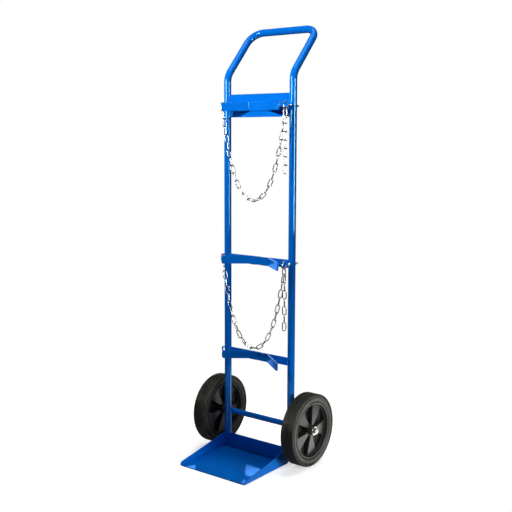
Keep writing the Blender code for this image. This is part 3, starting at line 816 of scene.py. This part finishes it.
def hanging_run(start, end, count):
    """Directions of equal links hung between two points: their slopes grow by equal steps."""
    flat = Vector((end.x - start.x, end.y - start.y, 0))
    lengths = [LINK_PITCH] * count
    lengths[0] += LINK_OVERREACH
    lengths[-1] += LINK_OVERREACH

    def reach(step, middle):
        slopes = [math.atan(step * (i + 0.5 - middle)) for i in range(count)]
        return (sum(l * math.cos(s) for l, s in zip(lengths, slopes)),
                sum(l * math.sin(s) for l, s in zip(lengths, slopes)), slopes)

    def lowest_link(step):
        low, high = -count, 2 * count
        for _ in range(HALVINGS):
            middle = (low + high) / 2
            if reach(step, middle)[1] > end.z - start.z:
                low = middle
            else:
                high = middle
        return middle

    gentle, steep = 0.0, STEEPEST
    for _ in range(HALVINGS):
        step = (gentle + steep) / 2
        if reach(step, lowest_link(step))[0] > flat.length:
            gentle = step
        else:
            steep = step
    slopes = reach(step, lowest_link(step))[2]
    flat.normalize()
    return [flat * math.cos(s) + Vector((0, 0, math.sin(s))) for s in slopes], lengths


def run_links(start, directions, lengths, rolls, side):
    """The middle, along and across of each link of a run; roll turns a link from the side direction."""
    links = []
    place = start.copy()
    for i, (along, length, roll) in enumerate(zip(directions, lengths, rolls)):
        near = place if i == 0 else place - along * LINK_OVERREACH
        across = side * math.cos(roll) + along.cross(side) * math.sin(roll)
        links.append((near + along * (LINK_PITCH / 2 + LINK_OVERREACH), along, across.normalized()))
        place += along * length
    return links


def hang_chain(level):
    wire = 2 * LINK_WIRE_R
    half_length = LINK_PITCH / 2 + LINK_OVERREACH
    down = Vector((0, 0, -1))
    hook_z = CRADLE_Z[level] - HOOK_RING_R + HOOK_R + LINK_WIRE_R + CLEARANCE
    middle = Vector((UPRIGHT_X, UPRIGHT_Y - HOOK_REACH, hook_z)) + down * half_length
    hang_links(level + "_link_on_hook", [(middle, down, RIGHT)], "frame", level + "_hooked_link")

    apart = (wire + SIDE_GAP) / 2
    inside = (LINK_BEND_R * math.sin(SEAT_SLOPE) - apart) * math.cos(SEAT_SLOPE)
    seat = middle - down * ((wire + SWING_GAP - inside) / math.sin(SEAT_SLOPE) - half_length)
    _, corner, foot = eye_corners(level)
    back = (corner - foot).normalized()
    start = foot + back * EYE_SEAT_GAP + Vector((0, 0, EYE_R + LINK_WIRE_R + SWING_GAP))
    end = seat - RIGHT * apart
    count = LOOP_LINKS[level]
    directions, lengths = hanging_run(start, end, count)
    side = Vector((end.y - start.y, start.x - end.x, 0)).normalized()
    rolls = [TURNED_AWAY + math.pi / 2 * (count - 2 - i) for i in range(count - 1)]
    eye_across = Vector((-back.y, back.x, 0))
    wanted = math.atan2(eye_across.dot(directions[0].cross(side)), eye_across.dot(side))
    twist = (wanted - rolls[0] + math.pi / 2) % math.pi - math.pi / 2
    rolls = [r + twist * (1 - i / (count - 2)) for i, r in enumerate(rolls)] + [0.0]
    loop = run_links(start, directions, lengths, rolls, side)
    hang_links(level + "_loop_links", loop, level + "_chain", level + "_chain")

    tail_lengths = [LINK_PITCH + LINK_OVERREACH] + [LINK_PITCH] * (TAIL_LINKS - 1)
    tail_rolls = [0.0] + [-TURNED_AWAY - math.pi / 2 * i for i in range(TAIL_LINKS - 1)]
    tail = run_links(seat + RIGHT * apart, [down] * TAIL_LINKS, tail_lengths, tail_rolls, side)
    hang_links(level + "_tail_links", tail, level + "_chain_tail", level + "_chain_tail")


for level in ("upper", "middle"):
    hang_chain(level)

# Axle: a plated steel rod through the axle tube, threaded at both ends. On each end come a spacer,
# the wheel, a washer and a hexagon nut, all of the same satin zinc plate.
AXLE_HALF = 0.2341
AXLE_COLUMNS = 32
AXLE_CHAMFER = 0.0012
AXLE_CENTRE_R = 1e-5
SPACER_R = 0.015
SPACER_HALF = 0.0015
SPACER_X = 0.1638
WASHER_R = 0.015
WASHER_HALF = 0.00125
WASHER_X = 0.22355
WASHER_COLUMNS = 40
AXLE_NUT_X = 0.2286
AXLE_NUT_FLATS = 0.019
AXLE_NUT_T = 0.007
AXLE_NUT_COLUMNS = 60
ENDS = {"left": -1, "right": 1}

satin_zinc = coated("satin_zinc_plate", ((0.48, 0.46, 0.41), (0.64, 0.62, 0.56)), roughness=(0.24, 0.40),
                    scales=(45.0, 700.0), bump=(0.08, 0.0002), metallic=1.0)

axle_end = [(AXLE_CENTRE_R, AXLE_HALF), (AXLE_R - AXLE_CHAMFER, AXLE_HALF),
            (AXLE_R, AXLE_HALF - AXLE_CHAMFER)]
axle_rows = [(r, -along) for r, along in axle_end] + axle_end[::-1]
axle = turned("threaded_axle", all_round(axle_rows), AXLE_COLUMNS, (0, AXLE_Y, AXLE_Z), ALONG_X, satin_zinc)
fit(axle, "frame", "zinc", "axle_rod")
for place, side in ENDS.items():
    for name, cad_node, x, section, columns in (
            ("_hub_spacer", "_spacer", SPACER_X, sleeve(SPACER_R, AXLE_BORE_R, SPACER_HALF), WASHER_COLUMNS),
            ("_hub_washer", "_washer", WASHER_X, sleeve(WASHER_R, AXLE_BORE_R, WASHER_HALF), WASHER_COLUMNS),
            ("_end_nut", "_axle_nut", AXLE_NUT_X, nut_section(AXLE_NUT_FLATS, AXLE_BORE_R, AXLE_NUT_T),
             AXLE_NUT_COLUMNS)):
        fitting = turned(place + name, section, columns, (side * x, AXLE_Y, AXLE_Z), ALONG_X, satin_zinc)
        fit(fitting, "frame", "zinc", place + cad_node)

# Tyres: solid rubber, moulded with fine ribs round the tread and a groove round each side wall,
# and stretched on to the rim. The rubber has a low sheen and is a little uneven in colour.
WHEEL_X = 0.1938
TYRE_R = 0.125
TYRE_HALF = 0.026
TYRE_SEAT_R = 0.0983
RIM_HALF = 0.0235
TYRE_BEAD = ((0.0, -0.0045), (0.0008, -0.0020), (0.0028, 0.0008), (0.0040, 0.0014))  # above seat, past rim
TREAD_HALF = 0.0208
SHOULDER_R = 0.0052
SHOULDER_STEPS = 8
RIB_DEPTH = 0.0017
RIB_GAP = (0.0012, 0.0006)  # half its width at the mouth and at the bottom
RIB_PITCH = 0.0044
WALL_DROP = 0.0005
WALL_GROOVE_R = 0.1156
WALL_GROOVE = 0.0030
WALL_GROOVE_GAP = (0.0019, 0.0011)  # the same for the groove
TYRE_COLUMNS = 144

tyre_rubber = coated("tyre_rubber", ((0.030, 0.028, 0.021), (0.044, 0.041, 0.032)), roughness=(0.44, 0.60),
                     scales=(26.0, 900.0), bump=(0.22, 0.0003), specular=0.4)


def tyre_side():
    """Half the tyre in section, from the rim seat over side wall and shoulder to the middle of the tread."""
    rows = [(TYRE_SEAT_R + up, RIM_HALF + out) for up, out in TYRE_BEAD]
    mouth, bottom = WALL_GROOVE_GAP
    rows += [(WALL_GROOVE_R - mouth, TYRE_HALF - WALL_DROP),
             (WALL_GROOVE_R - bottom, TYRE_HALF - WALL_GROOVE),
             (WALL_GROOVE_R + bottom, TYRE_HALF - WALL_GROOVE), (WALL_GROOVE_R + mouth, TYRE_HALF)]
    for i in range(SHOULDER_STEPS + 1):
        a = math.pi / 2 * i / SHOULDER_STEPS
        rows.append((TYRE_R - SHOULDER_R * (1 - math.sin(a)),
                     TREAD_HALF + (TYRE_HALF - TREAD_HALF) * math.cos(a)))
    groove = TREAD_HALF - RIB_PITCH / 2
    mouth, bottom = RIB_GAP
    while groove > 0:
        rows += [(TYRE_R, groove + mouth), (TYRE_R - RIB_DEPTH, groove + bottom),
                 (TYRE_R - RIB_DEPTH, groove - bottom), (TYRE_R, groove - mouth)]
        groove -= RIB_PITCH
    return rows


tyre_rows = [(r, -along) for r, along in tyre_side()] + tyre_side()[::-1]
for place, side in ENDS.items():
    tyre = turned(place + "_ribbed_tyre", all_round(tyre_rows), TYRE_COLUMNS,
                  (side * WHEEL_X, AXLE_Y, AXLE_Z), ALONG_X, tyre_rubber)
    fit(tyre, place + "_wheel", "rubber", place + "_tyre")

# Rims: black plastic mouldings. The disc is pocketed from each face in turn, which leaves five broad spokes
# on each face with sloped ribs between them, and the spokes rise towards the hub. A pale bush lines the hub.
RIM_SEAT_R = 0.098
RIM_INNER_R = 0.0915
RIM_LIP = ((0.0003, 0.0026), (0.0008, 0.0011), (0.0016, 0.0003), (0.0026, 0.0))  # past wall, below face
RIM_SEAT_EDGE = ((0.0022, 0.0), (0.0008, 0.0018), (0.0, 0.0045))  # short of the seat, below the face
RIM_CREASE = math.radians(50)
HUB_R = 0.018
HUB_HALF = 0.028
HUB_EASE = 0.001
BUSH_R = 0.009
SPOKES = 5
SPOKE_TURN = {"left": math.radians(-18), "right": math.radians(-10)}
SPOKE_RISE = (0.010, 0.0155)  # at the rim and at the hub
SPOKE_FOOT = (0.0006, 0.0011)
SPOKE_ROWS = (0.025, 0.030, 0.040, 0.050, 0.060, 0.070, 0.080)
SPOKE_TIP = 0.0008
SPOKE_SHARES = (0.25, 0.5, 0.75)
WEB_T = 0.006
RIB_FLANK = (-0.0012, 0.0010)
BORDER_OFFSETS = (0.0, 0.0005, 0.0010, 0.0016, 0.0022, 0.0028, 0.0035, 0.0042)
POCKET_INNER_R = 0.0195
POCKET_OUTER_R = 0.0898
POCKET_WALL = 0.0016
POCKET_WALL_STEPS = 4

rim_plastic = coated("moulded_black_plastic", ((0.024, 0.024, 0.023), (0.032, 0.032, 0.030)),
                     roughness=(0.26, 0.38), scales=(30.0, 1400.0), bump=(0.12, 0.0002))
bush_plastic = coated("pale_bush_plastic", ((0.58, 0.57, 0.52), (0.66, 0.65, 0.60)), roughness=(0.35, 0.5),
                      scales=(60.0, 1200.0), bump=(0.08, 0.0002))


def eased_step(value, low, high):
    t = min(max((value - low) / (high - low), 0.0), 1.0)
    return t * t * (3 - 2 * t)


def spoke_level(r):
    """How far the spokes' faces stand out from the wheel's middle plane."""
    rim_level, hub_level = SPOKE_RISE
    return hub_level + (rim_level - hub_level) * (r - HUB_R) / (RIM_INNER_R - HUB_R)


def pocket_depth(r, offset):
    """From 0 on a spoke to 1 on a pocket's floor, by the distance past the border between the two."""
    across = eased_step(offset, *RIB_FLANK)
    outwards = eased_step(r, POCKET_INNER_R, POCKET_INNER_R + POCKET_WALL)
    inwards = 1 - eased_step(r, POCKET_OUTER_R - POCKET_WALL, POCKET_OUTER_R)
    return across * outwards * inwards


def rim_lines(turn):
    """Lines from hub to rim, each with the angle of its border between spoke and pocket and either its offset
    from that border or its share of the way to the next one, and whether the front pocket lies ahead."""
    lines = []
    for border in range(2 * SPOKES):
        angle = turn + math.pi / (2 * SPOKES) * (2 * border + 1)
        pocket_ahead = border % 2 == 0
        for offset in [-o for o in reversed(BORDER_OFFSETS[1:])] + list(BORDER_OFFSETS):
            lines.append((angle, offset, None, pocket_ahead))
        lines += [(angle, None, share, pocket_ahead) for share in SPOKE_SHARES]
    return lines


def line_angle(line, r):
    """Where round the wheel a line is at the given radius."""
    angle, offset, share, _ = line
    if share is None:
        return angle + math.asin(offset / r)
    start = math.asin(BORDER_OFFSETS[-1] / r)
    return angle + start + share * (math.pi / SPOKES - 2 * start)


def past_border(line):
    """A line's distance into the front pocket; negative on the spoke's side."""
    _, offset, share, pocket_ahead = line
    distance = offset if share is None else 2 * BORDER_OFFSETS[-1]
    return distance if pocket_ahead else -distance


def moulded_rim(name, turn, centre):
    run = [POCKET_WALL * i / POCKET_WALL_STEPS for i in range(POCKET_WALL_STEPS + 1)]
    face_rows = [*(HUB_R + s for s in SPOKE_FOOT), *(POCKET_INNER_R + s for s in run), *SPOKE_ROWS,
                 *(POCKET_OUTER_R - s for s in reversed(run)), RIM_INNER_R - SPOKE_TIP]
    hub = [(BUSH_R + CLEARANCE, HUB_HALF), (HUB_R - HUB_EASE, HUB_HALF), (HUB_R, HUB_HALF - HUB_EASE),
           (HUB_R, spoke_level(HUB_R) + HUB_EASE)]
    wall = [(RIM_INNER_R, spoke_level(RIM_INNER_R) + HUB_EASE),
            *((RIM_INNER_R + out, RIM_HALF - down) for out, down in RIM_LIP),
            *((RIM_SEAT_R - short, RIM_HALF - down) for short, down in RIM_SEAT_EDGE)]
    shape = bmesh.new()
    columns = []
    for line in rim_lines(turn):
        past = past_border(line)
        front, back = [], []
        for r in face_rows:
            level = spoke_level(r)
            depth = 2 * level - WEB_T
            front.append((r, level - depth * pocket_depth(r, past)))
            back.append((r, -level + depth * pocket_depth(r, -past)))
        column = []
        for r, x in (hub + front + wall + [(r, -x) for r, x in reversed(wall)] + back[::-1]
                     + [(r, -x) for r, x in reversed(hub)]):
            a = line_angle(line, r)
            column.append(shape.verts.new(centre + Vector((x, r * math.cos(a), r * math.sin(a)))))
        columns.append(column)
    skin(shape, columns)
    return settled(placed(name, as_mesh(name, shape, rim_plastic)), RIM_CREASE)


for place, side in ENDS.items():
    hub_centre = Vector((side * WHEEL_X, AXLE_Y, AXLE_Z))
    rim = moulded_rim(place + "_moulded_rim", SPOKE_TURN[place], hub_centre)
    fit(rim, place + "_wheel", "rim_plastic", place + "_rim")
    bush = turned(place + "_hub_bush", sleeve(BUSH_R, AXLE_BORE_R, HUB_HALF), SLEEVE_COLUMNS, hub_centre,
                  ALONG_X, bush_plastic)
    fit(bush, place + "_wheel", "bush_plastic", place + "_bush")

# Studio floor and surround: white paper that keeps the cart's soft shadow and fades to pure white further
# out, inside a white surround. Camera and reflections see that white, and it lights the cart only a little.
FLOOR_HALF = 9.0
FLOOR_GRID = 24
FLOOR_SHADE = (0.40, 0.94)  # for bounced light and for the camera
FLOOR_FADE = (0.75, 1.5)  # distance from the cart's middle
FLOOR_FADE_SOONER = 0.7
FLOOR_GLOW = 0.53
FLOOR_GLOW_MIRRORED = 0.05
AMBIENT = 0.04


def seen_directly(tree):
    """1 for rays from the camera and for mirrored or refracted ones, 0 for the light that falls on things."""
    rays = node(tree, "ShaderNodeLightPath").outputs
    plain = reckoned(tree, "ADD", rays["Is Camera Ray"], rays["Is Glossy Ray"], use_clamp=True)
    return reckoned(tree, "ADD", plain, rays["Is Transmission Ray"], use_clamp=True)


def bare_material(name):
    made = bpy.data.materials.new(name)
    made.use_nodes = True
    made.node_tree.nodes.clear()
    return made


def glowing(tree, strength, tint=(1, 1, 1)):
    return node(tree, "ShaderNodeEmission", {"Color": (*tint, 1), "Strength": strength}).outputs["Emission"]


def white_floor():
    shape = bmesh.new()
    bmesh.ops.create_grid(shape, x_segments=FLOOR_GRID, y_segments=FLOOR_GRID, size=FLOOR_HALF)
    paper = bare_material("white_paper")
    tree = paper.node_tree
    place = node(tree, "ShaderNodeTexCoord").outputs["Object"]
    camera_ray = node(tree, "ShaderNodeLightPath").outputs["Is Camera Ray"]
    out = node(tree, "ShaderNodeVectorMath", {0: place}, operation="LENGTH").outputs["Value"]
    sooner = reckoned(tree, "MULTIPLY_ADD", camera_ray, FLOOR_FADE_SOONER, 1.0)
    far = ranged(tree, reckoned(tree, "MULTIPLY", out, sooner), FLOOR_FADE, interpolation_type="SMOOTHSTEP")
    matte = node(tree, "ShaderNodeBsdfDiffuse", {"Color": ranged(tree, camera_ray, end=FLOOR_SHADE)})
    mirrored = reckoned(tree, "MULTIPLY", seen_directly(tree), FLOOR_GLOW_MIRRORED)
    lift = reckoned(tree, "MULTIPLY_ADD", camera_ray, FLOOR_GLOW - FLOOR_GLOW_MIRRORED, mirrored)
    near_floor = node(tree, "ShaderNodeAddShader", {0: matte.outputs["BSDF"], 1: glowing(tree, lift)})
    blend = node(tree, "ShaderNodeMixShader", {0: far, 1: near_floor.outputs["Shader"],
                 2: glowing(tree, seen_directly(tree))})
    node(tree, "ShaderNodeOutputMaterial", {"Surface": blend.outputs["Shader"]})
    return placed("studio_floor", as_mesh("studio_floor", shape, paper))


white_floor()

surround = bpy.data.worlds.new("studio_surround")
surround.use_nodes = True
surround_tree = surround.node_tree
surround_tree.nodes.clear()
white = node(surround_tree, "ShaderNodeBackground", {"Color": (1, 1, 1, 1),
             "Strength": ranged(surround_tree, seen_directly(surround_tree), end=(AMBIENT, 1.0))})
node(surround_tree, "ShaderNodeOutputWorld", {"Surface": white.outputs["Background"]})
bpy.context.scene.world = surround


# Soft boxes: weak lamps behind white cloth, in front, at both sides, behind and above. They light the cart
# at a plain level. Reflections don't show them, because the bright cards stand for them there.
def soft_box(name, place, aim, size, power, spread):
    """A soft lamp that faces the aim."""
    lamp = bpy.data.lights.new(name, "AREA")
    lamp.shape = "RECTANGLE"
    lamp.size, lamp.size_y = size
    lamp.energy = power
    lamp.spread = math.radians(spread)
    made = bpy.data.objects.new(name, lamp)
    made.location = place
    made.rotation_euler = (Vector(aim) - Vector(place)).to_track_quat("-Z", "Y").to_euler()
    made.visible_camera = False
    made.visible_glossy = False
    bpy.context.scene.collection.objects.link(made)


soft_box("front_box", (-0.36, -2.02, 2.05), (0, 0, 1.27), (0.3, 0.2), 4.0, 48)
soft_box("fill_box", (0.70, -1.93, 1.70), (0, 0, 1.27), (0.3, 0.2), 0.6, 48)
soft_box("right_box", (2.00, -0.05, 1.90), (0, 0, 1.20), (0.6, 1.1), 1.7, 65)
soft_box("low_box", (1.50, 0.10, 0.35), (0.15, -0.05, 0.05), (0.5, 0.4), 1.6, 60)
soft_box("left_box", (-2.10, 0.45, 1.50), (0, 0, 0.70), (1.0, 1.0), 5, 90)
soft_box("back_box", (-0.60, 2.20, 2.30), (0, 0, 1.00), (1.2, 1.2), 8, 100)
soft_box("overhead_box", (0.20, 0.50, 4.60), (0, 0, 0.50), (1.6, 1.6), 19, 100)

# Flags and cards: dark cloth all round and bright cards, which only reflections see, because the streaks on
# the gloss tubes are what the paint mirrors. Three cards are kept off the flat plates, and four small tinted
# ones show only in the toe plate or in the cradles.
FLAG_SECTION = ((1.0, 0.0), (2.9, 0.9), (2.9, 3.6), (1.8, 4.9))  # radius, height
FLAG_SIDES = 48
FLAG_BLACK = (0.02, 0.02, 0.02, 1)
PALE_BLUE = (0.12, 0.36, 1.0)


def only_mirrored(piece):
    piece.visible_camera = False
    piece.visible_diffuse = False
    piece.visible_shadow = False
    return piece


def dark_flags():
    shape = bmesh.new()
    rings = [[shape.verts.new((r * math.cos(a), r * math.sin(a), z)) for a in full_turn(FLAG_SIDES)[:-1]]
             for r, z in FLAG_SECTION]
    for low, high in zip(rings, rings[1:]):
        for i in range(FLAG_SIDES):
            j = (i + 1) % FLAG_SIDES
            shape.faces.new((low[j], low[i], high[i], high[j]))
    cloth = bpy.data.materials.new("flag_cloth")
    cloth.use_nodes = True
    feed(cloth.node_tree, cloth.node_tree.nodes["Principled BSDF"].inputs,
         {"Base Color": FLAG_BLACK, "Specular IOR Level": 0.0})
    return only_mirrored(placed("studio_flags", as_mesh("studio_flags", shape, cloth)))


dark_flags()


def mirrors(name, pieces, state):
    """The pieces that a card shows in, or is kept out of."""
    group = bpy.data.collections.new(name)
    for piece in pieces:
        group.objects.link(piece)
    for row in group.collection_objects:
        row.light_linking.link_state = state
    return group


flats_spared = mirrors("flats_spared", [toe_pan, *flats], "EXCLUDE")
toe_only = mirrors("toe_only", [toe_pan], "INCLUDE")
troughs_only = mirrors("troughs_only", troughs, "INCLUDE")


def bright_card(name, place, size, strength, shown_in=None, aim=None, tint=(1, 1, 1)):
    """A card that stands for the lamps in reflections; it faces the cart's axis or the aim."""
    place = Vector(place)
    facing = (Vector(aim or (0, 0, place.z)) - place).to_track_quat("Z", "Y").to_matrix().to_4x4()
    shape = bmesh.new()
    bmesh.ops.create_grid(shape, x_segments=1, y_segments=1, size=0.5)
    bmesh.ops.scale(shape, vec=(*size, 1), verts=shape.verts)
    bmesh.ops.transform(shape, matrix=Matrix.Translation(place) @ facing, verts=shape.verts)
    paper = bare_material(name)
    paper.cycles.emission_sampling = "NONE"
    node(paper.node_tree, "ShaderNodeOutputMaterial", {"Surface": glowing(paper.node_tree, strength, tint)})
    made = only_mirrored(placed(name, as_mesh(name, shape, paper)))
    made.light_linking.receiver_collection = shown_in


bright_card("left_card", (-0.55, -1.92, 1.62), (0.9, 0.9), 17.3, flats_spared)
bright_card("right_card", (1.98, -0.05, 1.07), (0.6, 0.9), 17.6, flats_spared)
bright_card("right_front_card", (1.88, -0.68, 1.22), (0.16, 0.6), 4.7, flats_spared)
bright_card("floor_card", (0.52, 0.40, 0.002), (0.6, 0.6), 2.5, aim=(0.52, 0.40, 1))
bright_card("back_edge_card", (-1.535, 2.25, 1.09), (0.2, 0.2), 1.56)
bright_card("near_back_card", (-1.67, 2.185, 1.34), (0.14, 0.4), 5.2, toe_only, tint=PALE_BLUE)
bright_card("far_back_card", (-2.0, 1.886, 1.305), (0.13, 0.4), 5.0, toe_only, tint=PALE_BLUE)
bright_card("middle_wing_card", (-1.554, 0.687, 0.431), (0.14, 0.14), 2.3, troughs_only,
            (0.0925, 0.01, 0.6955), PALE_BLUE)
bright_card("low_wing_card", (-0.939, 0.459, 0.078), (0.062, 0.12), 1.8, troughs_only,
            (0.0425, 0.05, 0.357), PALE_BLUE)

# Camera: at chest height in front of the right wheel, with a slightly long lens and a very slight roll,
# so that the whole cart stands in the frame from toe plate to handle.
CAMERA_PLACE = (1.777, -2.279, 1.117)
CAMERA_TURN = (82.117, 0.0, 37.53)
CAMERA_ROLL = 0.16
CAMERA_LENS = 60.16
CAMERA_SENSOR = 36

lens = bpy.data.cameras.new("camera")
lens.lens = CAMERA_LENS
lens.sensor_width = CAMERA_SENSOR
camera = bpy.data.objects.new("camera", lens)
camera.location = CAMERA_PLACE
facing = Euler([math.radians(a) for a in CAMERA_TURN]).to_matrix()
camera.rotation_euler = (facing @ Matrix.Rotation(math.radians(CAMERA_ROLL), 3, "Z")).to_euler()
bpy.context.scene.collection.objects.link(camera)
bpy.context.scene.camera = camera
bpy.context.scene.view_settings.view_transform = "Standard"
